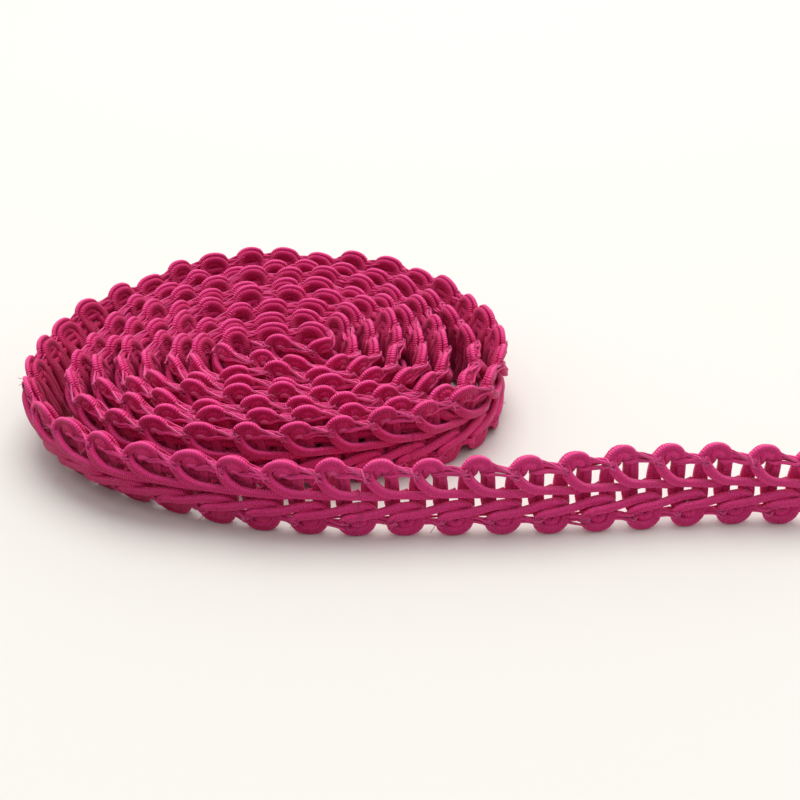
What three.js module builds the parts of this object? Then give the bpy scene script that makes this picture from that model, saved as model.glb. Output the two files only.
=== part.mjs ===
// A length of scroll-gimp braid, wound in a flat spiral coil that stands on its edge, with its loose end
// running out to the right. Millimetres, +Z up, the table at z = 0. The origin is under the middle of the
// whole part. The braid is a strip with scalloped edges: its height is the braid's width, and the spiral
// runs from the free end round seven turns, and then through a crumpled core.

import * as THREE from 'three';

// Driving dimensions of the braid
const PITCH = 6.4;               // from one scallop to the next along an edge
const WIDTH = 12;                // over the scallops of both edges, which is the height as it stands
const THICKNESS = 2;             // from the face to the back
const SCALLOP_DEPTH = 1.8;       // how far a scallop stands past the waist beside it
const STEPS_PER_PITCH = 4;       // cross-sections in each pitch, two on a scallop and two on a waist
const JOIN_GAP = 0.3;            // between the coil and the loose end, which are one braid

// Where the coil's own middle lies, so that the origin is under the middle of the whole part
const COIL_MIDDLE = new THREE.Vector2(-18.76, -1.54);

// The loose end, from its cut tip to where it meets the coil, measured from the coil's middle.
// lean is how far the upper edge stands out past the lower one, away from the coil.
const LOOSE_END = [
  { x: 75.0, y: -27.0, lean: -1.5 },
  { x: 66.5, y: -26.3, lean: -1.9 },
  { x: 56.0, y: -26.2, lean: -2.8 },
  { x: 47.0, y: -27.2, lean: -2.8 },
  { x: 33.5, y: -29.2, lean: -1.5 },
  { x: 18.5, y: -30.0, lean: -0.8 },
];
const LOOSE_END_FROM = 13;       // the loose end stops this far right of the coil's middle

// The distance of each turn from the coil's middle, in ten directions, from the outermost turn inwards.
// The directions are degrees round from the front, going left.
const DIRECTIONS = { front: 0, frontLeft: 45, leftFront: 67.5, left: 90, backLeft: 135,
  back: 180, backRight: 225, right: 270, rightFront: 292.5, frontRight: 315 };
const TURNS = [
  { front: 29.5, frontLeft: 33.1, leftFront: 36.6, left: 36.4, backLeft: 34.2,
    back: 34.0, backRight: 34.2, right: 34.7, rightFront: 31.6, frontRight: 25.5 },
  { front: 21.8, frontLeft: 27.1, leftFront: 30.3, left: 30.0, backLeft: 29.5,
    back: 29.3, backRight: 29.5, right: 29.3, rightFront: 27.8, frontRight: 22.5 },
  { front: 17.8, frontLeft: 22.8, leftFront: 26.6, left: 26.8, backLeft: 26.2,
    back: 25.9, backRight: 26.0, right: 25.6, rightFront: 24.2, frontRight: 19.2 },
  { front: 15.0, frontLeft: 19.5, leftFront: 22.8, left: 23.4, backLeft: 22.7,
    back: 22.4, backRight: 22.8, right: 22.2, rightFront: 20.4, frontRight: 15.6 },
  { front: 12.0, frontLeft: 15.5, leftFront: 18.9, left: 20.0, backLeft: 19.1,
    back: 18.7, backRight: 19.4, right: 18.5, rightFront: 16.4, frontRight: 12.2 },
  { front: 8.9, frontLeft: 11.7, leftFront: 15.0, left: 16.5, backLeft: 15.5,
    back: 15.1, backRight: 16.1, right: 15.0, rightFront: 12.9, frontRight: 9.2 },
  { front: 5.3, frontLeft: 7.9, leftFront: 11.4, left: 13.0, backLeft: 11.9,
    back: 11.2, backRight: 12.5, right: 11.3, rightFront: 8.8, frontRight: 4.6 },
];

// How far the outermost turn leans out in each direction. The turns inside it stand upright.
const OUTER_LEAN = { front: 0, frontLeft: 3.2, leftFront: 3.5, left: 3.4, backLeft: 1.8,
  back: 0.3, backRight: 0.3, right: 0.6, rightFront: 0.5, frontRight: 0.2 };

// The crumpled core inside the last turn, measured from the coil's middle
const CORE = [
  { x: -0.8, y: -0.7, lean: -0.8 },
  { x: -6.0, y: -0.6, lean: -1.2 },
  { x: -9.3, y: 1.2, lean: -0.3 },
  { x: -9.0, y: 4.1, lean: 0 },
  { x: -5.4, y: 6.0, lean: 0 },
  { x: 0.0, y: 6.8, lean: 0 },
  { x: 5.0, y: 6.0, lean: 0 },
  { x: 7.3, y: 4.9, lean: 0 },
  { x: 7.3, y: 3.3, lean: 0 },
  { x: 5.2, y: 2.2, lean: 0 },
  { x: 1.0, y: 2.1, lean: 0 },
  { x: -4.6, y: 3.0, lean: 0 },
];

const SILK = { color: 0xb92059, roughness: 0.6, metalness: 0 };

// One point of the winding, as a distance and a direction from the coil's middle
function onTurn(distance, degrees, lean) {
  const angle = THREE.MathUtils.degToRad(degrees);
  return new THREE.Vector3(-distance * Math.sin(angle), -distance * Math.cos(angle), lean);
}

// The curve along the braid's upper edge, seen from above. Its third number is the lean.
function windingCurve() {
  const stations = LOOSE_END.map(({ x, y, lean }) => new THREE.Vector3(x, y, lean));
  TURNS.forEach((turn, index) => {
    for (const [name, degrees] of Object.entries(DIRECTIONS)) {
      stations.push(onTurn(turn[name], degrees, index === 0 ? OUTER_LEAN[name] : 0));
    }
  });
  stations.push(...CORE.map(({ x, y, lean }) => new THREE.Vector3(x, y, lean)));
  const curve = new THREE.CatmullRomCurve3(stations, false, 'centripetal');
  curve.arcLengthDivisions = stations.length * 24;
  return curve;
}

// Heights of the two edges at a place along the braid, in pitches. Each pitch has two cross-sections on a
// scallop and two on a waist, with a slope between them. The lower edge's scallops lie under the upper
// edge's waists.
function edgeHeights(pitches) {
  const onUpperScallop = Math.floor(pitches * 2) % 2 === 0;
  return {
    upper: onUpperScallop ? WIDTH : WIDTH - SCALLOP_DEPTH,
    lower: onUpperScallop ? SCALLOP_DEPTH : 0,
  };
}

// The four corners of the strip where it is cut across: lower out, lower in, upper in, upper out
function crossSection(curve, distance, length) {
  const share = distance / length;
  const edge = curve.getPointAt(share);
  const along = curve.getTangentAt(share);
  const outward = new THREE.Vector2(-along.y, along.x).normalize();
  const { upper, lower } = edgeHeights(distance / PITCH);
  const corner = (height, side) => {
    const out = side * THICKNESS / 2 - edge.z * (1 - height / WIDTH);
    return [
      COIL_MIDDLE.x + edge.x + outward.x * out,
      COIL_MIDDLE.y + edge.y + outward.y * out,
      height,
    ];
  };
  return [corner(lower, 1), corner(lower, -1), corner(upper, -1), corner(upper, 1)];
}

// The strip between two distances along the curve, as one closed body
function stripGeometry(curve, from, to) {
  const length = curve.getLength();
  const step = PITCH / STEPS_PER_PITCH;
  const distances = [from];
  for (let index = Math.floor(from / step - 0.5) + 1; (index + 0.5) * step < to; index += 1) {
    const distance = (index + 0.5) * step;
    if (distance - from > step / 4 && to - distance > step / 4) distances.push(distance);
  }
  distances.push(to);

  const sections = distances.map((distance) => crossSection(curve, distance, length));
  const corners = sections[0].length;
  const positions = sections.flat(2);
  const triangles = [];
  for (let ring = 0; ring + 1 < sections.length; ring += 1) {
    for (let corner = 0; corner < corners; corner += 1) {
      const here = ring * corners + corner;
      const beside = ring * corners + (corner + 1) % corners;
      triangles.push(here, here + corners, beside, beside, here + corners, beside + corners);
    }
  }
  const last = (sections.length - 1) * corners;
  triangles.push(0, 1, 3, 1, 2, 3);
  triangles.push(last, last + 3, last + 1, last + 1, last + 3, last + 2);

  const geometry = new THREE.BufferGeometry();
  geometry.setAttribute('position', new THREE.Float32BufferAttribute(positions, 3));
  geometry.setIndex(triangles);
  geometry.computeVertexNormals();
  return geometry;
}

// The distance along the curve at which the loose end gives way to the coil
function distanceToJoin(curve) {
  const length = curve.getLength();
  let distance = 0;
  while (curve.getPointAt(distance / length).x > LOOSE_END_FROM) distance += PITCH / STEPS_PER_PITCH;
  return distance;
}

function braidMesh(name, geometry) {
  const mesh = new THREE.Mesh(geometry, new THREE.MeshStandardMaterial(SILK));
  mesh.name = name;
  return mesh;
}

const curve = windingCurve();
const join = distanceToJoin(curve);
const group = new THREE.Group();
group.add(braidMesh('loose_end', stripGeometry(curve, 0, join - JOIN_GAP / 2)));
group.add(braidMesh('braid_coil', stripGeometry(curve, join + JOIN_GAP / 2, curve.getLength())));

export default group;
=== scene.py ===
"""A length of magenta scroll-gimp braid, wound in a flat spiral coil that stands on its edge."""
import math
from typing import NamedTuple

import bpy
import numpy as np
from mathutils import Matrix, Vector


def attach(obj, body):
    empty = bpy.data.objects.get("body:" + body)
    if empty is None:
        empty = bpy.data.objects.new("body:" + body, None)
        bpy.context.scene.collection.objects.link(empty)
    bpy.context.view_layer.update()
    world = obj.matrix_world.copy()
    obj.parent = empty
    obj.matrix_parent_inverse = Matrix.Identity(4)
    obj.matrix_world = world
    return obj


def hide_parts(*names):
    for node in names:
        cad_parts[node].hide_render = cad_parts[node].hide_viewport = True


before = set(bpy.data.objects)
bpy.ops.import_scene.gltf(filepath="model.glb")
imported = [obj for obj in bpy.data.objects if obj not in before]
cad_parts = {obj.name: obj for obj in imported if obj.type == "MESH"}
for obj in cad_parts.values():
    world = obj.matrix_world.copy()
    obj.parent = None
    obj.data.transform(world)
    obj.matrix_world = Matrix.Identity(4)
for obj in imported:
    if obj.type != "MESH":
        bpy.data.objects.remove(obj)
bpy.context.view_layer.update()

MM = 0.001                      # the sizes below are in millimetres, and meshes are in metres
SAMPLES = 32                    # steps of the winding between two of its stations

# The braid, as in the solids
PITCH = 6.4                     # from one scallop to the next along an edge
WIDTH = 12.0                    # over the scallops of both edges
SCALLOP_PHASE = 0.25            # where in each pitch the middle of an upper scallop lies
COIL_MIDDLE = np.array([-18.76, -1.54])

# The photo's camera: 33 degrees down, square to the loose end, 92 mm above the table
CAMERA_PITCH = math.radians(33.0)
CAMERA_PLACE = (-0.16, -140.42, 91.57)
CAMERA_LENS = 47.05
SENSOR_WIDTH = 36.0

# The loose end from its cut tip inwards: right of the coil's middle, behind it, and how far the upper
# edge stands out past the lower one
LOOSE_END = [
    (75.0, -27.0, -1.5),
    (66.5, -26.3, -1.9),
    (56.0, -26.2, -2.8),
    (47.0, -27.2, -2.8),
    (33.5, -29.2, -1.5),
    (18.5, -30.0, -0.8),
]
LOOSE_END_FROM = 13.0           # the loose end stops this far right of the coil's middle

# The distance of each turn from the coil's middle in ten directions, outermost turn first. The directions
# are degrees round from the front, going left.
BEARINGS = {"front": 0.0, "front_left": 45.0, "left_front": 67.5, "left": 90.0, "back_left": 135.0,
            "back": 180.0, "back_right": 225.0, "right": 270.0, "right_front": 292.5, "front_right": 315.0}
TURNS = [
    (29.5, 33.1, 36.6, 36.4, 34.2, 34.0, 34.2, 34.7, 31.6, 25.5),
    (21.8, 27.1, 30.3, 30.0, 29.5, 29.3, 29.5, 29.3, 27.8, 22.5),
    (17.8, 22.8, 26.6, 26.8, 26.2, 25.9, 26.0, 25.6, 24.2, 19.2),
    (15.0, 19.5, 22.8, 23.4, 22.7, 22.4, 22.8, 22.2, 20.4, 15.6),
    (12.0, 15.5, 18.9, 20.0, 19.1, 18.7, 19.4, 18.5, 16.4, 12.2),
    (8.9, 11.7, 15.0, 16.5, 15.5, 15.1, 16.1, 15.0, 12.9, 9.2),
    (5.3, 7.9, 11.4, 13.0, 11.9, 11.2, 12.5, 11.3, 8.8, 4.6),
]

# In the same directions, how far the outermost turn's upper edge stands out past its lower one, and how
# far the middle of each of the two outermost turns stands out past both of its edges
OUTER_LEAN = (0.0, 3.2, 3.5, 3.4, 1.8, 0.3, 0.3, 0.6, 0.5, 0.2)
OUTER_BOWS = [
    (0.0, 2.0, 1.2, 0.2, 0.0, 0.0, 0.0, -0.3, -0.3, 0.0),
    (0.0, 0.0, 0.0, 0.0, 0.0, 0.0, 0.6, 1.6, 1.6, 0.0),
]

# The crumpled core: right of the coil's middle, behind it, and the lean
CORE = [
    (-0.8, -0.7, -2.2),
    (-6.0, -0.6, -3.0),
    (-9.3, 1.2, -1.6),
    (-9.0, 4.1, 0.0),
    (-5.4, 6.0, 0.0),
    (0.0, 6.8, 0.0),
    (5.0, 6.0, 0.0),
    (7.3, 4.9, 0.0),
    (7.3, 3.3, 0.0),
    (5.2, 2.2, 0.0),
    (1.0, 2.1, 0.0),
    (-4.6, 3.0, 0.0),
]


class Cord(NamedTuple):
    """What a cord is like. How pale or deep it is painted counts in shades, where 1 is the palest silk; the
    paleness is painted highlight and the depth painted shade.
    """

    radius: float
    sides: int                  # corners of its section
    samples: int                # steps between two points of its table
    lengthwise: bool = False    # its threads run along it, and aren't wrapped round it
    groove: float = 0.0         # how deep the groove along its front and back is, as a share of its depth; a grooved cord also gets painted shade along it and painted highlights on its lips
    painted_top_light: float = 0.0            # how much paler it is painted where it faces up, as painted highlight; below 0, painted darker there as painted shade
    face: float = 0.0           # how much deeper it is painted where it doesn't face up, in the upper half of the braid, as painted shade
    swell: float = 0.0          # how much thicker it is on the coil, as a share of its thickness
    dim: float = 0.0            # how much deeper it is painted on the coil, as painted shade


# Each table below is one pitch of a cord, with these columns: along the braid towards its free end from
# the middle of the scallop, from the scallop's top towards the other edge, out from the strip's middle,
# and the cord's thickness there as a share of its own
# The edge cord is painted pale on top and deep on its face and in its groove, as painted highlight and
# shade
EDGE_CORD = Cord(radius=0.68, sides=10, samples=3, groove=0.35, painted_top_light=0.1, face=0.35)
LOWER_EDGE_CORD = EDGE_CORD._replace(samples=2)
UPPER_EDGE_LOOP = [
    (-1.70, 2.20, 0.50, 1.00),
    (-1.34, 3.14, 0.82, 1.04),
    (-0.56, 4.04, 1.00, 1.04),
    (0.70, 4.86, 0.98, 0.96),
    (2.30, 5.22, 0.84, 0.88),
    (4.00, 5.44, 0.60, 0.88),
    (5.40, 5.76, 0.26, 0.88),
    (6.50, 6.06, -0.10, 0.86),
    (7.40, 6.06, -0.28, 0.84),
    (8.02, 5.50, -0.34, 0.84),
    (8.10, 4.50, -0.28, 0.84),
    (8.00, 3.30, -0.12, 0.88),
    (7.86, 2.20, 0.05, 0.96),
    (7.54, 1.32, 0.18, 1.00),
    (6.86, 0.80, 0.28, 1.02),
    (6.10, 0.72, 0.34, 1.02),
    (5.32, 0.98, 0.38, 1.00),
    (4.78, 1.50, 0.44, 1.00),
]
LOWER_EDGE_LOOP = [
    (-1.98, 2.20, 0.45, 0.96),
    (-1.62, 2.94, 0.72, 0.94),
    (-0.90, 3.34, 0.84, 0.90),
    (0.30, 3.52, 0.82, 0.88),
    (1.80, 3.74, 0.74, 0.88),
    (3.50, 4.14, 0.60, 0.90),
    (5.00, 4.50, 0.44, 0.96),
    (6.40, 4.56, 0.26, 1.08),
    (7.40, 4.40, 0.06, 1.10),
    (8.12, 3.96, -0.10, 0.98),
    (8.44, 3.26, -0.10, 0.90),
    (8.32, 2.30, 0.05, 0.94),
    (7.96, 1.42, 0.20, 0.98),
    (7.18, 0.82, 0.30, 1.02),
    (6.14, 0.70, 0.36, 1.04),
    (5.16, 0.90, 0.40, 1.02),
    (4.56, 1.40, 0.42, 0.98),
]
LOWER_EDGE_SHIFT = 3.3          # the lower edge's scallops lie this far towards the free end

# The ladder is painted darker on top, below its rims and on the coil, as painted shade
LADDER_CORD = Cord(radius=0.60, sides=8, samples=2, painted_top_light=-0.4, face=0.3, swell=0.25, dim=0.6)
LADDER_OUTER_AT_TOP = [
    (-1.50, 2.10, -0.72, 0.9),
    (-0.92, 1.36, -0.66, 0.9),
    (0.00, 1.10, -0.62, 0.9),
    (0.82, 1.34, -0.66, 0.9),
    (1.28, 1.96, -0.74, 0.95),
    (1.52, 2.80, -0.84, 1.0),
    (1.70, 4.00, -0.92, 1.0),
    (1.82, 5.50, -0.92, 1.0),
    (1.90, 7.00, -0.92, 1.0),
    (2.02, 8.20, -0.82, 1.0),
    (2.22, 9.20, -0.42, 1.10),
    (2.70, 10.06, 0.00, 1.20),
    (3.30, 10.34, 0.12, 1.22),
    (3.90, 10.02, 0.00, 1.20),
    (4.24, 9.00, -0.42, 1.10),
    (4.22, 7.50, -0.82, 1.0),
    (4.18, 6.20, -0.92, 1.0),
    (4.26, 4.90, -0.92, 1.0),
    (4.48, 3.60, -0.88, 1.0),
    (4.60, 2.76, -0.80, 0.95),
]
LADDER_INNER_AT_TOP = [
    (-0.98, 3.36, -0.50, 0.94),
    (-0.66, 2.74, -0.16, 1.00),
    (-0.54, 2.14, 0.10, 1.02),
    (-0.42, 1.70, 0.24, 1.02),
    (0.00, 1.48, 0.30, 1.02),
    (0.42, 1.70, 0.24, 1.02),
    (0.58, 2.20, 0.04, 1.00),
    (0.74, 2.90, -0.30, 0.92),
    (0.90, 3.70, -0.66, 0.92),
    (0.94, 4.50, -0.90, 0.96),
    (0.90, 6.00, -0.92, 1.0),
    (0.90, 7.50, -0.92, 1.0),
    (1.24, 8.80, -0.88, 1.0),
    (1.72, 9.86, -0.80, 0.95),
    (2.20, 10.56, -0.72, 0.9),
    (2.90, 10.90, -0.68, 0.9),
    (3.76, 10.86, -0.68, 0.9),
    (4.46, 10.44, -0.72, 0.9),
    (5.04, 9.60, -0.82, 1.05),
    (5.26, 8.40, -0.90, 1.15),
    (5.26, 7.20, -0.92, 1.1),
    (5.12, 6.10, -0.92, 1.0),
    (5.06, 4.90, -0.90, 1.0),
    (5.24, 3.80, -0.76, 0.95),
]

# Inside every scallop lie short bent cords, the hearts, which close it between the face and the back,
# painted deep as the shade inside it. The last of the upper ones lies across the middle of the braid.
HEART_CORD = Cord(radius=0.52, sides=6, samples=2, face=0.4)
UPPER_HEARTS = [
    [(-1.00, 2.60, -0.20, 0.8), (-0.64, 1.92, -0.18, 1.1), (0.00, 1.56, -0.16, 1.25),
     (0.64, 1.92, -0.18, 1.1), (0.96, 2.60, -0.24, 0.8)],
    [(-1.00, 2.90, -0.60, 0.8), (-0.70, 2.30, -0.56, 1.1), (0.00, 1.96, -0.52, 1.2),
     (0.70, 2.30, -0.56, 1.1), (0.98, 2.90, -0.60, 0.8)],
    [(1.20, 6.10, -0.30, 0.8), (2.10, 6.10, -0.36, 1.0), (2.90, 5.94, -0.46, 1.0),
     (3.60, 5.60, -0.60, 0.8)],
]
LOWER_HEARTS = [
    [(-1.10, 2.10, -0.20, 0.8), (-0.70, 1.60, -0.20, 1.1), (0.00, 1.40, -0.18, 1.25),
     (0.70, 1.60, -0.20, 1.1), (1.10, 2.10, -0.20, 0.8)],
    [(-1.50, 3.40, -0.66, 0.8), (-0.70, 3.56, -0.60, 1.1), (0.20, 3.62, -0.60, 1.1),
     (1.00, 3.40, -0.66, 0.8)],
]

# A neck cord runs low behind the floss from each scallop to the foot of the next, painted deeper on the
# coil as painted shade
NECK_CORD = Cord(radius=0.40, sides=6, samples=2, lengthwise=True, dim=0.8)
UPPER_NECK = [(0.90, 2.20, -0.20, 0.8), (1.70, 2.02, -0.10, 1.0), (2.60, 1.98, 0.00, 1.1),
              (3.50, 2.06, 0.16, 1.2), (4.30, 2.26, 0.40, 1.2), (4.90, 2.70, 0.50, 0.9)]
LOWER_NECK = [(1.00, 2.30, -0.20, 0.8), (1.90, 2.14, -0.10, 1.0), (2.80, 2.10, 0.05, 1.1),
              (3.70, 2.14, 0.30, 1.2), (4.50, 2.30, 0.45, 1.0)]

# On the coil two cords also run along the back of the openings, where the braid bunches up, painted deep as
# the shade seen through the openings
WEB_CORD = Cord(radius=0.58, sides=6, samples=2)
WEB = [
    [(-1.20, 3.00, -0.50, 1.1), (0.40, 3.00, -0.56, 1.0), (2.00, 2.90, -0.56, 1.1),
     (3.60, 2.90, -0.56, 1.1)],
    [(-1.20, 4.20, -0.50, 1.2), (0.40, 4.10, -0.56, 1.2), (2.00, 4.00, -0.56, 1.2),
     (3.60, 4.10, -0.56, 1.2)],
]

# Silk floss fills each neck, and all its strands are knotted round the foot of the next scallop. Each row
# holds a number of strands and the points along the middle of their bunch, from which they bow away. The
# upper bunches leave the scallop's shoulder, its back, its middle and the back of the neck.
FLOSS = Cord(radius=0.17, sides=4, samples=2, lengthwise=True)
UPPER_FLOSS = [
    (3, [(1.10, 1.96, 0.10, 0.9), (1.80, 1.86, 0.10, 1.2), (2.50, 1.84, 0.16, 1.3), (3.20, 1.92, 0.34, 1.2),
         (3.90, 2.04, 0.70, 1.1), (4.40, 2.16, 1.00, 1.0), (4.90, 2.44, 0.92, 0.8)]),
    (1, [(0.70, 1.20, -0.72, 0.8), (1.50, 1.62, -0.66, 1.0), (2.40, 2.00, -0.56, 1.0),
         (3.40, 2.20, -0.40, 1.0), (4.30, 2.30, -0.30, 0.8)]),
    (3, [(0.10, 2.40, 0.36, 0.8), (0.90, 2.50, 0.50, 1.1), (1.80, 2.46, 0.34, 1.3), (2.70, 2.40, 0.36, 1.3),
         (3.60, 2.30, 0.76, 1.2), (4.30, 2.10, 1.04, 1.0), (4.80, 1.74, 0.90, 0.8)]),
    (2, [(1.50, 2.66, -0.44, 0.9), (2.50, 2.54, -0.45, 1.2), (3.40, 2.50, -0.45, 1.2),
         (4.30, 2.50, -0.60, 0.9)]),
]
LOWER_FLOSS = [
    (2, [(1.60, 1.76, 0.05, 1.0), (2.50, 1.96, 0.22, 1.4), (3.30, 2.04, 0.42, 1.3), (4.00, 1.96, 0.86, 1.1),
         (4.60, 1.68, 1.00, 0.8)]),
    (2, [(1.60, 2.50, 0.00, 1.0), (2.50, 2.50, 0.16, 1.4), (3.30, 2.42, 0.38, 1.3), (4.00, 2.46, 0.90, 1.1),
         (4.60, 2.80, 1.08, 0.8)]),
    (1, [(1.60, 2.10, -0.70, 0.9), (2.60, 2.20, -0.55, 1.3), (3.60, 2.22, -0.55, 1.2),
         (4.30, 2.20, -0.70, 0.8)]),
]
THREAD = Cord(radius=0.12, sides=4, samples=2, lengthwise=True)
UPPER_KNOTS = [
    (2, [(3.70, 1.86, 0.40, 1.0), (4.15, 1.92, 0.90, 1.2), (4.65, 2.10, 1.14, 1.2),
         (5.15, 2.30, 0.98, 1.0)]),
    (2, [(3.80, 2.46, 0.60, 1.0), (4.30, 2.56, 1.03, 1.2), (4.80, 2.76, 1.26, 1.2),
         (5.30, 3.04, 1.12, 1.0)]),
    (2, [(3.90, 1.60, 0.30, 1.0), (4.20, 1.96, 0.96, 1.3), (4.40, 2.46, 1.20, 1.3),
         (4.50, 3.00, 1.00, 1.0)]),
]
LOWER_KNOTS = [
    (2, [(3.60, 2.20, 0.60, 1.0), (4.10, 2.16, 1.05, 1.2), (4.60, 2.26, 1.18, 1.2),
         (5.00, 2.50, 1.00, 1.0)]),
]
BOW = 0.16                      # how far a strand bows away from the middle of its bunch
BOW_FROM, BOW_TO = 0.4, 2.6     # the stretch of a sine, in radians, along which it bows
KINK = 0.05                     # how far each point of a strand is out of true
STRAND_THICKNESS = (0.8, 1.2)   # the thinnest and the thickest strand, as a share of the table's

# One strand, painted pale as a highlight, runs along the upper edge from each scallop's shoulder to the
# knot. On the coil a short bent cord, the hub, painted pale as a highlight, lies in the middle of each
# upper scallop, where the floss leaves it.
UPPER_STRAND = [(1.40, 1.14, 0.00, 0.8), (2.00, 1.40, 0.16, 1.3), (2.70, 1.66, 0.36, 1.5),
                (3.40, 1.90, 0.62, 1.5), (4.10, 2.10, 0.86, 1.4), (4.70, 2.30, 1.00, 1.0)]
HUB_CORD = NECK_CORD._replace(dim=0.0)
UPPER_HUB = [(-0.50, 2.76, 0.10, 0.8), (-0.24, 2.28, 0.34, 1.0), (0.10, 2.10, 0.40, 1.1),
             (0.46, 2.30, 0.36, 1.0), (0.96, 2.52, 0.20, 0.8)]

# Loose fibres at each knot: how many, the middle of the knot, and how far they reach from it
FUZZ = Cord(radius=0.05, sides=3, samples=2, lengthwise=True)
UPPER_FUZZ = (5, (4.40, 2.00, 0.80), 0.34)
LOWER_FUZZ = (2, (4.30, 2.10, 0.85), 0.34)
FIBRE_POINTS = 4
FIBRE_START, FIBRE_STEP, FIBRE_CURL = 0.5, 0.36, 0.14    # how random each is, as a share of the reach

# The shade each cord is painted at its start and its end: below 0 it is deeper, as painted shade, and above
# 0 paler, as painted highlight
SHADES = {
    "upper_edge": (0.0, 0.0), "lower_edge": (-0.1, -0.1), "ladder": (-0.1, -0.1), "heart": (-1.1, -1.1),
    "web": (-0.9, -0.9), "neck": (-0.3, 0.3), "floss": (-0.2, 0.5), "knot": (0.6, 0.6),
    "strand": (0.5, 0.9), "hub": (0.9, 0.6), "fuzz": (0.9, 0.9),
}

# How uneven the repeats of a cord are. The shares turn it into millimetres along, down and outwards.
EDGE_JITTER, LADDER_JITTER, WEB_JITTER, STRAND_JITTER = 0.02, 0.015, 0.03, 0.03
SLIP_SHARE, DROP_SHARE, PROUD_SHARE = 1.6, 1.2, 0.9
SPARE_PITCHES = 3               # repeats past both ends of the braid, which are cut off
SEED = 11

COIL_PIECES = 5                 # the coil is cut into this many meshes
TIP_CLEAR = 7.0                 # bunches, knots and fibres start further than this from the cut tip
STUB = 2.2                      # a loop that the tip cuts off falls away if it reaches in less than this
THINNED_FROM = 100.0            # this far past the loose end, one strand leaves each shoulder, not three
TOP_CLEAR = 0.3                 # the middle of a cord stays this far below the top of the braid

# Where a change takes hold, from none at the first place to all at the second, as distances past the loose
# end and then as heights above the table
BUNCHED_OVER = (0.0, 60.0)      # the braid bunches up as it enters the coil
PACKED_OVER = (60.0, 120.0)     # and then its turns are pressed together
SPREAD_BEHIND_OVER = (150.0, 210.0)
FLOSS_PROUD_OVER = (180.0, 210.0)
LOWER_EDGE_OVER = (6.0, 1.0)    # what moves with the lower edge
UPPER_EDGE_OVER = (5.0, 10.0)   # what moves with the upper edge
SIDES_OVER = (7.0, 9.0)         # the sides of the upper scallops
SCALLOP_OVER = (8.0, 10.0)      # the upper scallops themselves
FOOT_OVER = (4.0, 1.0)          # what lies in the shade near the table
FACE_OVER = (5.5, 8.5)          # the upper half, which is shaded below its rims

# A cord is pressed flat where it turns at an edge, and is rounder in the middle of the braid: the depth of
# its section as a share of its width, at these heights from the nearer edge
FLAT_AT = (1.6, 3.6)
FLATNESS = (0.58, 0.84)
SQUARENESS = 0.8                # under 1, a cord's section is fuller than an oval
GROOVE_NARROWNESS = 16          # the higher, the narrower the groove along a cord

KNOT_LIMIT = 1.08               # how far out on the coil a thread may lie, before FLOSS_PROUD is added

# In the packed turns
PLUMPNESS = 0.08                # how much fuller a cord is in the scallops
WAIST_RISE = 0.12               # how far the braid between two scallops is drawn up
SQUEEZE = 0.35                  # how much nearer to each other the front and back of a scallop are
SQUEEZE_TOWARDS = 0.3           # the place, out from the strip's middle, that they draw near to
FLOSS_PROUD = 0.22              # how much further out the floss on the face lies inside the outermost turn
FACE_SIDE = 0.2                 # a bunch of floss stands out if it starts further out than this

# How far the sides of each scallop are let out, by the distance past the loose end
SPREAD_AT = (0.0, 60.0, 150.0, 210.0)
SPREAD = (0.0, 0.45, 0.40, -0.05)
SPREAD_BEHIND = 0.40            # and how much further at the back, inside the outermost turn

# How deep the silk is painted in its creases and below its rims, as painted shade, and how pale on its rims
# and lips, as painted highlight. The first two pairs are for the open braid and the packed turns, and the
# others are for the loose end and the coil.
HIGHLIGHT_SHARPNESS = 4               # the higher, the narrower the painted highlights on rims and lips are
SHADE_SHARPNESS = (1.0, 3.0)    # the higher, the more of a cord is shaded below its rim
SHADE_STRENGTH = (1.0, 2.0)     # how strongly it is shaded there
GROOVE_SHARPNESS = (8.0, 3.0)   # the higher, the narrower the band of painted shade along a groove is
GROOVE_SHADE = (0.54, 0.60)      # painted shade in the groove of an edge cord
LIP_HIGHLIGHT = (0.504, 0.378)       # painted highlight on both sides of the groove
FOOT_SHADE = (0.28, 0.70)        # painted shade near the table
OUTSIDE_SHADE = 1.15             # painted shade on the first stretch of the coil, where a cord doesn't face up

# The silk, with noise scales for each metre
WRAP_PITCH = 0.27               # from one turn of the wrapping thread to the next
SILK_FINISH = {
    "Roughness": 0.46,
    "Specular IOR Level": 0.30,
    "Specular Tint": (1.0, 0.65, 0.82, 1.0),
    "Sheen Weight": 0.28,
    "Sheen Roughness": 0.35,
    "Sheen Tint": (1.0, 0.38, 0.60, 1.0),
}
# The dyes, which the ridges and patches mix: the ridges as painted shade between the turns of the wrapping
# thread and painted highlight on their crests
DYED = (0.93, 0.036, 0.250, 1.0)
LIGHTER_DYE_AND_CREST_HIGHLIGHT = (0.92, 0.064, 0.315, 1.0)
# The colours of painted highlight and painted shade, which the shade attribute mixes in
PAINTED_HIGHLIGHT_COLOUR = (0.85, 0.128, 0.345, 1.0)
PAINTED_SHADE_COLOUR = (0.52, 0.006, 0.086, 1.0)
PAINTED_SHADE_SHARE = 0.55               # how much of the painted shade colour a shade of -1 brings
SWAY_SCALE, SWAY = 700.0, 7.0   # the wrapping thread sways by up to this many radians of its turn
GRAIN_SCALE, GRAIN_HEIGHT = 2600.0, 1.4
PATCH_SCALE = 160.0             # of the patches where the dye took a little differently
RIDGE_HEIGHT, RIDGE_PAINTED_SHADE = 0.8, 0.28    # of a turn of the wrapping thread, in the bump and as painted shade and highlight in the colour
RIDGE_DEPTH, RIDGE_STRENGTH = 0.085, 0.8
BAKE_MARGIN = 0.35              # between two skins that are laid out flat for baking
BAKE_SLACK = 1.03               # how much wider the flat layout is than the square root of its area

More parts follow.
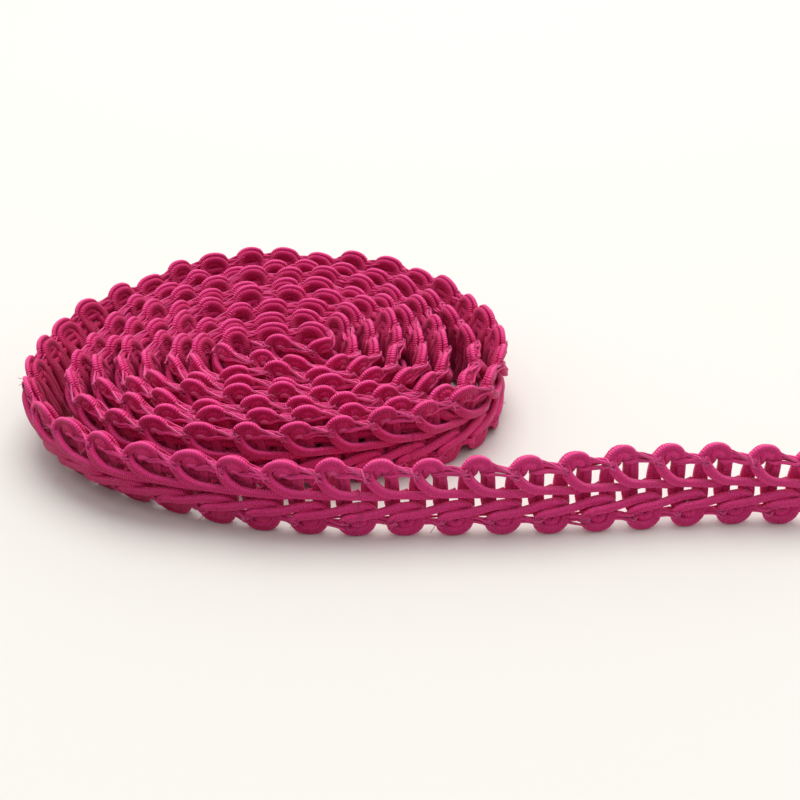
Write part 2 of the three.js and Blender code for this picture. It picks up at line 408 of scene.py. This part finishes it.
# The studio, in metres and watts
SOFTBOX = dict(place=(0.03, 0.33, 0.96), size=0.80, power=7.6, colour=(1.0, 0.99, 0.97))
ROOM_COLOUR = (1.0, 0.985, 0.96, 1.0)
ROOM_LEVEL = 0.54               # how bright the room is at the sides
ROOM_BEHIND = 0.50              # how much brighter it is behind, and dimmer in front
ROOM_OVERHEAD = 0.40            # how much brighter it is overhead
TABLE_HALF = 3.0
TABLE_COLOUR = (0.72, 0.713, 0.685, 1.0)
TABLE_ROUGHNESS = 0.9


def ramp(value, start, end):
    """0 before the start, rising evenly to 1 at the end."""
    return np.clip((value - start) / (end - start), 0.0, 1.0)


def between(pair, share):
    """The pair's first number where the share is 0, and its second where the share is 1."""
    return pair[0] + (pair[1] - pair[0]) * share


def station_table():
    """Every station of the winding in order: right, behind, lean, from the free tip to the core."""
    rows = list(LOOSE_END)
    for index, turn in enumerate(TURNS):
        for bearing, distance, lean in zip(BEARINGS.values(), turn, OUTER_LEAN):
            angle = math.radians(bearing)
            lean = lean if index == 0 else 0.0
            rows.append((-distance * math.sin(angle), -distance * math.cos(angle), lean))
    return np.array(rows + CORE)


def winding():
    """Points along the curve through the stations, close together, with the length up to each."""
    stations = station_table()
    before = 2 * stations[0] - stations[1]
    after = 2 * stations[-1] - stations[-2]
    points = np.vstack([before, stations, after])
    t = (np.arange(SAMPLES) / SAMPLES)[:, None]
    curve = []
    for p0, p1, p2, p3 in zip(points, points[1:], points[2:], points[3:]):
        d0, d1, d2 = (math.sqrt(np.linalg.norm(b - a)) for a, b in ((p0, p1), (p1, p2), (p2, p3)))
        leave = ((p1 - p0) / d0 - (p2 - p0) / (d0 + d1) + (p2 - p1) / d1) * d1
        reach = ((p2 - p1) / d1 - (p3 - p1) / (d1 + d2) + (p3 - p2) / d2) * d1
        curve.append(p1 + leave * t + (3 * (p2 - p1) - 2 * leave - reach) * t**2
                     + (2 * (p1 - p2) + leave + reach) * t**3)
    curve = np.vstack(curve + [stations[-1:]])
    steps = np.linalg.norm(np.diff(curve, axis=0), axis=1)
    return curve, np.concatenate([[0.0], np.cumsum(steps)])


class Strip:
    """The braid's middle surface: maps places on the flat braid to places in space."""

    def __init__(self):
        curve, self.lengths = winding()
        self.length = self.lengths[-1]
        self.edge = curve[:, :2] + COIL_MIDDLE
        self.lean = curve[:, 2]
        station = np.arange(len(curve)) / SAMPLES - len(LOOSE_END)
        bows = np.concatenate(OUTER_BOWS)
        self.bow = np.interp(station, np.arange(len(bows)), bows)
        along = np.gradient(self.edge, self.lengths, axis=0)
        along /= np.linalg.norm(along, axis=1)[:, None]
        self.outward = np.column_stack([-along[:, 1], along[:, 0]])

    def at(self, distance, table):
        return np.column_stack([np.interp(distance, self.lengths, column) for column in table.T])

    def place(self, distance, height, out):
        """Points at a distance from the free tip, a height above the table and out from the strip, and
        the outward direction at each. The bow is full halfway up the braid."""
        edge = self.at(distance, self.edge)
        outward = self.at(distance, self.outward)
        outward /= np.linalg.norm(outward, axis=1)[:, None]
        lean = np.interp(distance, self.lengths, self.lean)
        bow = np.interp(distance, self.lengths, self.bow)
        down = 1.0 - height / WIDTH
        shift = out - lean * down + bow * 4 * down * (1.0 - down)
        beyond = np.minimum(distance, 0.0) + np.maximum(distance - self.length, 0.0)
        forward = np.column_stack([outward[:, 1], -outward[:, 0]])
        flat = edge + outward * shift[:, None] + forward * beyond[:, None]
        return np.column_stack([flat, height]), np.column_stack([outward, np.zeros(len(distance))])

    def distance_to_join(self):
        """The distance at which the loose end gives way to the coil."""
        right = self.edge[:, 0] - COIL_MIDDLE[0]
        return self.lengths[np.argmax(right < LOOSE_END_FROM)]


strip = Strip()
scallops = int(strip.length / PITCH)
join = strip.distance_to_join()


class Wander:
    """A gentle random curve along the braid, in millimetres."""

    def __init__(self, seed, wavelength, amplitude):
        self.wavelength = wavelength
        knots = int(strip.length / wavelength) + 4
        self.values = np.random.default_rng(seed).uniform(-amplitude, amplitude, knots)

    def at(self, distance):
        """The curve's height at some distances, which are kept just inside its last step."""
        place = np.clip(distance / self.wavelength + 1.0, 0.0, len(self.values) - 2.001)
        low = place.astype(int)
        share = place - low
        share = share * share * (3.0 - 2.0 * share)
        return self.values[low] * (1.0 - share) + self.values[low + 1] * share


# How far the braid is out of true, in millimetres: along it, upwards and outwards
BOTH_EDGES_OUT = (Wander(SEED + 2, wavelength=17.0, amplitude=0.22),
                  Wander(SEED + 3, wavelength=7.0, amplitude=0.14))
UPPER_ALONG = Wander(SEED + 4, wavelength=5.3, amplitude=0.60)
UPPER_RISE = Wander(SEED + 5, wavelength=4.7, amplitude=0.55)
UPPER_OUT = Wander(SEED + 6, wavelength=5.9, amplitude=0.70)
UPPER_LEAN = Wander(SEED + 9, wavelength=23.0, amplitude=0.55)
LOWER_ALONG = Wander(SEED + 7, wavelength=5.7, amplitude=0.30)
LOWER_OUT = Wander(SEED + 8, wavelength=6.1, amplitude=0.30)
UPPER_SAG = 0.05                # how far the upper edge sags on the whole
UNEVENNESS = (0.35, 1.0)        # how much of the upper and lower ones the loose end and the coil have


def into_coil(distance):
    """0 on the loose end, rising to 1 as the braid enters the coil."""
    return ramp(distance - join, *BUNCHED_OVER)


def packed(distance):
    """0 where the braid lies open, rising to 1 where the turns are pressed together."""
    return ramp(distance - join, *PACKED_OVER)


def out_of_true(distance, height):
    """Moves each scallop its own way, with all its cords together. Gives along, up and out."""
    uneven = between(UNEVENNESS, into_coil(distance))
    upper = ramp(height, *UPPER_EDGE_OVER) * uneven
    lower = ramp(height, *LOWER_EDGE_OVER) * uneven
    sides = ramp(height, *SIDES_OVER)
    from_middle = (distance / PITCH - SCALLOP_PHASE) * 2 * math.pi
    facing_back = np.clip(strip.at(distance, strip.outward)[:, 1], 0.0, 1.0)
    spread = np.interp(distance - join, SPREAD_AT, SPREAD)
    spread = spread + SPREAD_BEHIND * facing_back * ramp(distance - join, *SPREAD_BEHIND_OVER)
    along = upper * UPPER_ALONG.at(distance) + lower * LOWER_ALONG.at(distance)
    along = along + spread * sides * np.sin(from_middle)
    rise = upper * (UPPER_RISE.at(distance) - UPPER_SAG)
    rise = rise + WAIST_RISE * packed(distance) * sides * np.sin(from_middle / 2) ** 2
    out = upper * (UPPER_OUT.at(distance) + UPPER_LEAN.at(distance)) + lower * LOWER_OUT.at(distance)
    return along, rise, out + sum(wander.at(distance) for wander in BOTH_EDGES_OUT)


def through(points, samples):
    """A Catmull-Rom curve through rows of points, with the given number of steps between two of them."""
    padded = np.vstack([2 * points[0] - points[1], points, 2 * points[-1] - points[-2]])
    p0, p1, p2, p3 = padded[:-3], padded[1:-2], padded[2:-1], padded[3:]
    curve = np.zeros((len(p1), samples, points.shape[1]))
    for step in range(samples):
        t = step / samples
        curve[:, step] = 0.5 * (2 * p1 + (p2 - p0) * t + (2 * p0 - 5 * p1 + 4 * p2 - p3) * t**2
                                + (3 * p1 - p0 - 3 * p2 + p3) * t**3)
    return np.vstack([curve.reshape(-1, points.shape[1]), points[-1:]])


# An edge: how far its scallops lie towards the free end, and whether they are measured from the floor up
UPPER = (0.0, False)
LOWER = (LOWER_EDGE_SHIFT, True)


class Braid:
    """Every cord and thread over the whole braid. Each of its paths is a kind, the points' distances from
    the free tip, their places, outward directions, thicknesses and shades, and the cord."""

    def __init__(self):
        self.random = np.random.default_rng(SEED)
        self.paths = []
        self.lay_edges_and_ladder()
        self.lay_hearts()
        self.lay_web()
        self.lay_necks()
        self.lay_floss(UPPER, UPPER_FLOSS, UPPER_KNOTS)
        self.lay_floss(LOWER, LOWER_FLOSS, LOWER_KNOTS)
        self.lay_strands_and_hubs()
        self.lay_fuzz(UPPER, *UPPER_FUZZ)
        self.lay_fuzz(LOWER, *LOWER_FUZZ)

    def repeat(self, rows, edge, jitter):
        """The points of a pitch table in each pitch of the braid, each a little different: distance from
        the free tip, height above the table, out and thickness."""
        shift, measured_up = edge
        table = np.array(rows)
        count = scallops + SPARE_PITCHES
        middle = (np.arange(count)[::-1] - 1 + SCALLOP_PHASE) * PITCH - shift
        size = 1.0 + self.random.uniform(-jitter, jitter, count)
        slip = self.random.normal(0.0, jitter * SLIP_SHARE, count)
        drop = self.random.normal(0.0, jitter * DROP_SHARE, count)
        proud = self.random.normal(0.0, jitter * PROUD_SHARE, count)
        from_edge = table[None, :, 1] * size[:, None] + np.abs(drop[:, None])
        points = np.zeros((count, len(table), 4))
        points[:, :, 0] = middle[:, None] - table[None, :, 0] - slip[:, None]
        points[:, :, 1] = from_edge if measured_up else WIDTH - from_edge
        points[:, :, 2] = table[None, :, 2] + proud[:, None]
        points[:, :, 3] = table[None, :, 3]
        return points

    def lay(self, points, cord, kind, shades, proud=None):
        """Lays one cord through its points on the strip, in a scallop pressed flatter where the braid is
        packed. If proud is given, it is a thread, which stands out by that much there instead."""
        curve = through(points, cord.samples)
        distance, height, out, thickness = curve.T
        along, rise, shift = out_of_true(distance, height)
        height = np.clip(height + rise, cord.radius, WIDTH - TOP_CLEAR)
        pressed = packed(distance) * ramp(height, *SCALLOP_OVER)
        if proud is None:
            out = out + pressed * SQUEEZE * (SQUEEZE_TOWARDS - out)
        else:
            out = out - into_coil(distance) * np.maximum(out - KNOT_LIMIT, 0.0)
            out = out + ramp(distance - join, *FLOSS_PROUD_OVER) * pressed * proud
        place, outward = strip.place(distance + along, height, out + shift)
        shade = np.linspace(*shades, len(curve))
        self.paths.append((kind, distance, place, outward, thickness, shade, cord))

    def lay_edges_and_ladder(self):
        for rows, edge, jitter, cord, kind, shade in (
                (UPPER_EDGE_LOOP, UPPER, EDGE_JITTER, EDGE_CORD, "edge", "upper_edge"),
                (LOWER_EDGE_LOOP, LOWER, EDGE_JITTER, LOWER_EDGE_CORD, "edge", "lower_edge"),
                (LADDER_OUTER_AT_TOP, UPPER, LADDER_JITTER, LADDER_CORD, "ladder", "ladder"),
                (LADDER_INNER_AT_TOP, UPPER, LADDER_JITTER, LADDER_CORD, "ladder", "ladder")):
            self.lay(np.vstack(self.repeat(rows, edge, jitter)), cord, kind, SHADES[shade])

    def lay_hearts(self):
        for tables, edge in ((UPPER_HEARTS, UPPER), (LOWER_HEARTS, LOWER)):
            for rows in tables:
                for points in self.repeat(rows, edge, LADDER_JITTER):
                    self.lay(points, HEART_CORD, "ladder", SHADES["heart"])

    def lay_web(self):
        for rows in WEB:
            points = np.vstack(self.repeat(rows, UPPER, WEB_JITTER))
            self.lay(points[points[:, 0] > join + PITCH], WEB_CORD, "ladder", SHADES["web"])

    def lay_necks(self):
        for rows, edge in ((UPPER_NECK, UPPER), (LOWER_NECK, LOWER)):
            for points in self.repeat(rows, edge, LADDER_JITTER):
                self.lay(points, NECK_CORD, "edge", SHADES["neck"])

    def lay_floss(self, edge, floss, knots):
        for bunches, cord, shade in ((floss, FLOSS, "floss"), (knots, THREAD, "knot")):
            for strands, rows in bunches:
                proud = FLOSS_PROUD if cord is FLOSS and rows[0][2] > FACE_SIDE else 0.0
                for strand in range(strands):
                    thinned = strand > 0 and rows is UPPER_FLOSS[0][1]
                    end = join + THINNED_FROM if thinned else math.inf
                    for points in self.bowed(rows, edge):
                        if TIP_CLEAR < points[0, 0] <= end:
                            self.lay(points, cord, "edge", SHADES[shade], proud)

    def bowed(self, rows, edge):
        """The points of one strand in each pitch, bowed away from the middle of its bunch."""
        points = self.repeat(rows, edge, EDGE_JITTER)
        bow = self.random.normal(0.0, BOW, (len(points), 1, 2))
        points[:, :, 1:3] += bow * np.sin(np.linspace(BOW_FROM, BOW_TO, len(rows)))[None, :, None]
        points[:, :, 1:3] += self.random.normal(0.0, KINK, (len(points), len(rows), 2))
        points[:, :, 3] *= self.random.uniform(*STRAND_THICKNESS, (len(points), 1))
        return points

    def lay_strands_and_hubs(self):
        for points in self.repeat(UPPER_STRAND, UPPER, STRAND_JITTER):
            self.lay(points, FLOSS, "edge", SHADES["strand"], FLOSS_PROUD)
        for points in self.repeat(UPPER_HUB, UPPER, EDGE_JITTER):
            if points[0, 0] > join:
                self.lay(points, HUB_CORD, "edge", SHADES["hub"], FLOSS_PROUD)

    def lay_fuzz(self, edge, fibres, knot, reach):
        for _ in range(fibres):
            points = self.repeat([knot + (1.0,)] * FIBRE_POINTS, edge, EDGE_JITTER)
            start = self.random.normal(0.0, FIBRE_START * reach, (len(points), 3))
            heading = self.random.normal(0.0, FIBRE_STEP * reach, (len(points), 3))
            curl = self.random.normal(0.0, FIBRE_CURL * reach, (len(points), 3))
            for step in range(FIBRE_POINTS):
                points[:, step, :3] += start + heading * step + curl * step * step
            for one in points[points[:, 0, 0] > TIP_CLEAR]:
                self.lay(one, FUZZ, "edge", SHADES["fuzz"])

    def cut(self, kinds, start, end):
        """The tubes of some kinds that lie between two distances along the braid, as one gathering. A
        loop that the tip cuts off on both sides is left out, because nothing would hold it."""
        tubes = Tubes()
        for kind, distance, place, outward, thickness, shade, cord in self.paths:
            if kind not in kinds:
                continue
            inside = (distance >= start) & (distance <= end)
            marks = np.flatnonzero(np.diff(np.concatenate([[0], inside.astype(int), [0]])))
            for first, last in zip(marks[::2], marks[1::2]):
                beside = max(distance[max(first - 1, 0)], distance[min(last, len(distance) - 1)])
                falls_off = beside < 0.0 and distance[first:last].max() < STUB
                if last - first < 2 or falls_off:
                    continue
                part = slice(first, min(last + 1, len(distance)))
                tubes.add(distance[part], place[part], outward[part], thickness[part], shade[part], cord)
        return tubes


def section(distance, path, outward, angle, groove):
    """The ring of points round each point of a path, as offsets from it, for a cord of radius 1."""
    from_edge = np.minimum(path[:, 2], WIDTH - path[:, 2])
    flatness = np.interp(from_edge, FLAT_AT, FLATNESS)
    flatness = flatness + PLUMPNESS * packed(distance) * ramp(path[:, 2], *SCALLOP_OVER)
    along = np.gradient(path, axis=0)
    along /= np.linalg.norm(along, axis=1)[:, None]
    up = outward - along * np.sum(outward * along, axis=1)[:, None]
    up /= np.linalg.norm(up, axis=1)[:, None]
    side = np.cross(along, up)
    width = np.sign(np.cos(angle)) * np.abs(np.cos(angle)) ** SQUARENESS
    depth = np.sign(np.sin(angle)) * np.abs(np.sin(angle)) ** SQUARENESS
    depth = depth * (1.0 - groove * np.abs(np.sin(angle)) ** GROOVE_NARROWNESS)
    return (side[:, None, :] * width[None, :, None]
            + up[:, None, :] * (flatness[:, None] * depth[None, :])[:, :, None])


def painted_light_and_shade(distance, path, ring, angle, cord):
    """The painted highlights and shade round each point of a path: how much paler or deeper the silk is
    painted there than the cord as a whole.
    """
    bunched = np.sqrt(into_coil(distance))[:, None]
    tight = packed(distance)[:, None]
    height = path[:, 2:]
    facing_up = np.clip(ring[:, :, 2] / np.linalg.norm(ring, axis=2), 0.0, 1.0)
    shaded = 1.0 - facing_up ** between(SHADE_SHARPNESS, tight)
    # painted highlight where a cord faces up; painted shade on the coil and below the rims of the upper
    # half
    painted = cord.painted_top_light * facing_up ** HIGHLIGHT_SHARPNESS - cord.dim * bunched
    painted = painted - cord.face * ramp(height, *FACE_OVER) * between(SHADE_STRENGTH, tight) * shaded
    # painted shade near the table, and on the outermost turn where a cord doesn't face up
    painted = painted - between(FOOT_SHADE, bunched) * ramp(height, *FOOT_OVER)
    painted = painted - OUTSIDE_SHADE * (bunched - tight) * (1.0 - facing_up ** 2)
    # painted shade along the groove, and painted highlights on its lips
    if cord.groove:
        band = np.abs(np.sin(angle))[None, :] ** between(GROOVE_SHARPNESS, bunched)
        painted = painted - between(GROOVE_SHADE, bunched) * band
        painted = painted + between(LIP_HIGHLIGHT, bunched) * np.cos(angle) ** HIGHLIGHT_SHARPNESS
    return painted


def four_corners(across, low, high):
    """Map places of the corners of a tube's faces: how far round the tube, and how far along it."""
    places = np.zeros((len(low), len(across) - 1, 4, 2))
    for corner, (edge, along) in enumerate(((0, low), (1, low), (1, high), (0, high))):
        places[:, :, corner, 0] = across[edge:len(across) - 1 + edge]
        places[:, :, corner, 1] = along[:, None]
    return places


class Tubes:
    """Gathers tubes into one mesh, with a map of each cord's length and a flat map for baking."""

    def __init__(self):
        self.vertices = []
        self.quads = []
        self.caps = []
        self.shades = []
        self.cord_map = []
        self.skins = []
        self.count = 0

    def add(self, distance, path, outward, thickness, shade, cord):
        """One tube along a path, with the outward direction, thickness and shade at each of its points."""
        rings = len(path)
        radii = cord.radius * thickness * (1.0 + cord.swell * np.sqrt(into_coil(distance)))
        angle = (np.arange(cord.sides) + 0.5) / cord.sides * 2 * math.pi
        ring = section(distance, path, outward, angle, cord.groove) * radii[:, None, None]
        here = self.count + np.arange(rings * cord.sides).reshape(rings, cord.sides)
        beside = np.roll(here, -1, 1)
        quads = np.stack([here[:-1], beside[:-1], beside[1:], here[1:]], axis=-1)
        self.vertices.append((path[:, None, :] + ring).reshape(-1, 3))
        self.quads.append(quads.reshape(-1, 4))
        self.caps += [here[0][::-1], here[-1]]
        self.shades.append((shade[:, None] + painted_light_and_shade(distance, path, ring, angle, cord)).ravel())
        self.count += rings * cord.sides

        length = np.concatenate([[0.0], np.cumsum(np.linalg.norm(np.diff(path, axis=0), axis=1))])
        across = np.arange(cord.sides + 1) / cord.sides
        if cord.lengthwise:
            threads = round(2 * math.pi * cord.radius / WRAP_PITCH)
            self.cord_map.append(four_corners(across * threads, np.zeros(rings - 1), np.zeros(rings - 1)))
        else:
            self.cord_map.append(four_corners(across, length[:-1], length[1:]))
        self.skins.append((length, across * 2 * math.pi * radii.max()))

    def bake_map(self):
        """Lays every tube's skin out flat in rows, side by side, without overlap."""
        area = sum(length[-1] * (across[-1] + BAKE_MARGIN) for length, across in self.skins)
        width = math.sqrt(area) * BAKE_SLACK
        result = []
        x = BAKE_MARGIN
        y = BAKE_MARGIN
        row = 0.0
        for length, across in self.skins:
            row = max(row, across[-1])
            start = 0
            while start < len(length) - 1:
                fits = int(np.searchsorted(length[start + 1:] - length[start], width - x, side="right"))
                if fits == 0:
                    x = BAKE_MARGIN
                    y += row + BAKE_MARGIN
                    row = across[-1]
                    continue
                along = x + length[start:start + fits + 1] - length[start]
                result.append(four_corners(y + across, along[:-1], along[1:])[..., ::-1])
                x = along[-1] + BAKE_MARGIN
                start += fits
        size = max(width, y + row) + BAKE_MARGIN
        return [places / size for places in result]

    def build(self, name, material):
        """The tubes as one object with a silk material."""
        vertices = np.vstack(self.vertices) * MM
        quads = np.vstack(self.quads)
        corners = np.concatenate([quads.ravel()] + self.caps)
        sizes = np.concatenate([np.full(len(quads), 4), [len(cap) for cap in self.caps]]).astype(np.int32)
        starts = np.concatenate([[0], np.cumsum(sizes)[:-1]]).astype(np.int32)
        mesh = bpy.data.meshes.new(name)
        mesh.vertices.add(len(vertices))
        mesh.vertices.foreach_set("co", vertices.astype(np.float32).ravel())
        mesh.loops.add(len(corners))
        mesh.loops.foreach_set("vertex_index", corners.astype(np.int32))
        mesh.polygons.add(len(sizes))
        mesh.polygons.foreach_set("loop_start", starts)
        mesh.polygons.foreach_set("use_smooth", sizes == 4)
        on_caps = np.zeros((len(corners) - 4 * len(quads), 2))
        for layer_name, places in (("cord", self.cord_map), ("OFBake", self.bake_map())):
            flat = np.vstack([part.reshape(-1, 2) for part in places] + [on_caps])
            layer = mesh.uv_layers.new(name=layer_name)
            layer.data.foreach_set("uv", flat.astype(np.float32).ravel())
        # each point's shade: its painted highlight and painted shade
        shade = mesh.attributes.new("shade", "FLOAT", "POINT")
        shade.data.foreach_set("value", np.concatenate(self.shades).astype(np.float32))
        mesh.update(calc_edges=True)
        mesh.validate()
        mesh.materials.append(material)
        piece = bpy.data.objects.new(name, mesh)
        bpy.context.scene.collection.objects.link(piece)
        return piece


def add_node(tree, kind, inputs, **settings):
    """Adds a node to a tree. Each input is a number or a colour, or the socket that it comes from."""
    node = tree.nodes.new(kind)
    for name, value in settings.items():
        setattr(node, name, value)
    for name, value in inputs.items():
        if isinstance(value, bpy.types.NodeSocket):
            tree.links.new(value, node.inputs[name])
        else:
            node.inputs[name].default_value = value
    return node


def multiply_add(tree, value, factor, added, **settings):
    """value * factor + added, as a node's output"""
    inputs = {0: value, 1: factor, 2: added}
    return add_node(tree, "ShaderNodeMath", inputs, operation="MULTIPLY_ADD", **settings).outputs[0]


def mixed(tree, factor, first, second):
    """The first colour where the factor is 0, and the second where it is 1, as a node's output"""
    inputs = {"Factor": factor, "A": first, "B": second}
    return add_node(tree, "ShaderNodeMix", inputs, data_type="RGBA").outputs["Result"]


def noise(tree, place, scale, detail):
    inputs = {"Vector": place, "Scale": scale, "Detail": detail}
    return add_node(tree, "ShaderNodeTexNoise", inputs).outputs["Fac"]


def silk_material():
    """Magenta silk wound round the cords: fine ridges across each cord, a soft sheen, uneven dye, and
    painted highlights and shade.
    """
    material = bpy.data.materials.new("magenta_silk")
    material.use_nodes = True
    tree = material.node_tree
    tree.nodes.clear()
    place = add_node(tree, "ShaderNodeTexCoord", {}).outputs["Object"]

    # one ridge for each turn of the wrapping thread
    cord = add_node(tree, "ShaderNodeUVMap", {}, uv_map="cord")
    on_cord = add_node(tree, "ShaderNodeSeparateXYZ", {0: cord.outputs["UV"]})
    turn = multiply_add(tree, on_cord.outputs["X"], 2 * math.pi, 0.0)
    turn = multiply_add(tree, on_cord.outputs["Y"], 2 * math.pi / WRAP_PITCH, turn)
    turn = multiply_add(tree, noise(tree, place, SWAY_SCALE, detail=2.0), SWAY, turn)
    ridge = add_node(tree, "ShaderNodeMath", {0: turn}, operation="SINE").outputs[0]
    grain = multiply_add(tree, noise(tree, place, GRAIN_SCALE, detail=3.0), GRAIN_HEIGHT, 0.0)
    height = multiply_add(tree, ridge, RIDGE_HEIGHT, grain)
    relief = {"Strength": RIDGE_STRENGTH, "Distance": RIDGE_DEPTH * MM, "Height": height}
    bump = add_node(tree, "ShaderNodeBump", relief)

    # the dye is uneven in patches; the ridges get painted shade between the turns and painted highlight on
    # their crests; rims, lips and knots get painted highlights, and creases, faces and the coil painted
    # shade
    shade = add_node(tree, "ShaderNodeAttribute", {}, attribute_name="shade").outputs["Fac"]
    patches = noise(tree, place, PATCH_SCALE, detail=2.0)
    colour = mixed(tree, multiply_add(tree, ridge, RIDGE_PAINTED_SHADE, patches), DYED, LIGHTER_DYE_AND_CREST_HIGHLIGHT)
    colour = mixed(tree, shade, colour, PAINTED_HIGHLIGHT_COLOUR)
    colour = mixed(tree, multiply_add(tree, shade, -PAINTED_SHADE_SHARE, 0.0), colour, PAINTED_SHADE_COLOUR)

    finish = dict(SILK_FINISH)
    finish["Base Color"] = colour
    finish["Normal"] = bump.outputs["Normal"]
    shader = add_node(tree, "ShaderNodeBsdfPrincipled", finish)
    add_node(tree, "ShaderNodeOutputMaterial", {"Surface": shader.outputs["BSDF"]})
    return material


def add_camera():
    """The photo's camera."""
    data = bpy.data.cameras.new("photo_camera")
    data.lens = CAMERA_LENS
    data.sensor_width = SENSOR_WIDTH
    data.clip_start = MM
    camera = bpy.data.objects.new("photo_camera", data)
    camera.location = [value * MM for value in CAMERA_PLACE]
    camera.rotation_euler = (math.pi / 2 - CAMERA_PITCH, 0.0, 0.0)
    bpy.context.scene.collection.objects.link(camera)
    bpy.context.scene.camera = camera


def add_table():
    """A plain pale table top under the braid."""
    half = TABLE_HALF
    corners = [(-half, -half, 0), (half, -half, 0), (half, half, 0), (-half, half, 0)]
    mesh = bpy.data.meshes.new("floor")
    mesh.from_pydata(corners, [], [(0, 1, 2, 3)])
    material = bpy.data.materials.new("pale_table")
    material.use_nodes = True
    shader = material.node_tree.nodes["Principled BSDF"]
    shader.inputs["Base Color"].default_value = TABLE_COLOUR
    shader.inputs["Roughness"].default_value = TABLE_ROUGHNESS
    mesh.materials.append(material)
    floor = bpy.data.objects.new("floor", mesh)
    bpy.context.scene.collection.objects.link(floor)


def add_softbox(place, size, power, colour):
    """A round soft light, aimed at the braid."""
    data = bpy.data.lights.new("softbox", "AREA")
    data.shape = "DISK"
    data.size = size
    data.energy = power
    data.color = colour
    light = bpy.data.objects.new("softbox", data)
    light.location = place
    light.rotation_euler = (-Vector(place)).to_track_quat("-Z", "Y").to_euler()
    bpy.context.scene.collection.objects.link(light)


def light_room():
    """A pale room, brightest overhead and behind, and dim in front."""
    world = bpy.data.worlds.new("studio")
    world.use_nodes = True
    tree = world.node_tree
    direction = add_node(tree, "ShaderNodeTexCoord", {}).outputs["Generated"]
    towards = add_node(tree, "ShaderNodeSeparateXYZ", {0: direction})
    level = multiply_add(tree, towards.outputs["Y"], ROOM_BEHIND, ROOM_LEVEL)
    level = multiply_add(tree, towards.outputs["Z"], ROOM_OVERHEAD, level, use_clamp=True)
    background = tree.nodes["Background"]
    background.inputs["Color"].default_value = ROOM_COLOUR
    tree.links.new(level, background.inputs["Strength"])
    bpy.context.scene.world = world


def stand_for(piece, node):
    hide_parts(node)
    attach(piece, "root")


silk = silk_material()
braid = Braid()

ladder = braid.cut(("ladder",), 0.0, join).build("loose_end_ladder", silk)
edges = braid.cut(("edge",), 0.0, join).build("loose_end_edges", silk)
stand_for(ladder, "loose_end")
stand_for(edges, "loose_end")

# The last cut is past the braid's end, so that the last piece is a little shorter than the others
cuts = np.linspace(join, strip.length + PITCH, COIL_PIECES + 1)
for number, (start, end) in enumerate(zip(cuts, cuts[1:]), 1):
    turns = braid.cut(("edge", "ladder"), start, min(end, strip.length))
    stand_for(turns.build(f"coil_braid_{number}", silk), "braid_coil")

add_camera()
add_table()
add_softbox(**SOFTBOX)
light_room()
bpy.context.scene.view_settings.view_transform = "Standard"
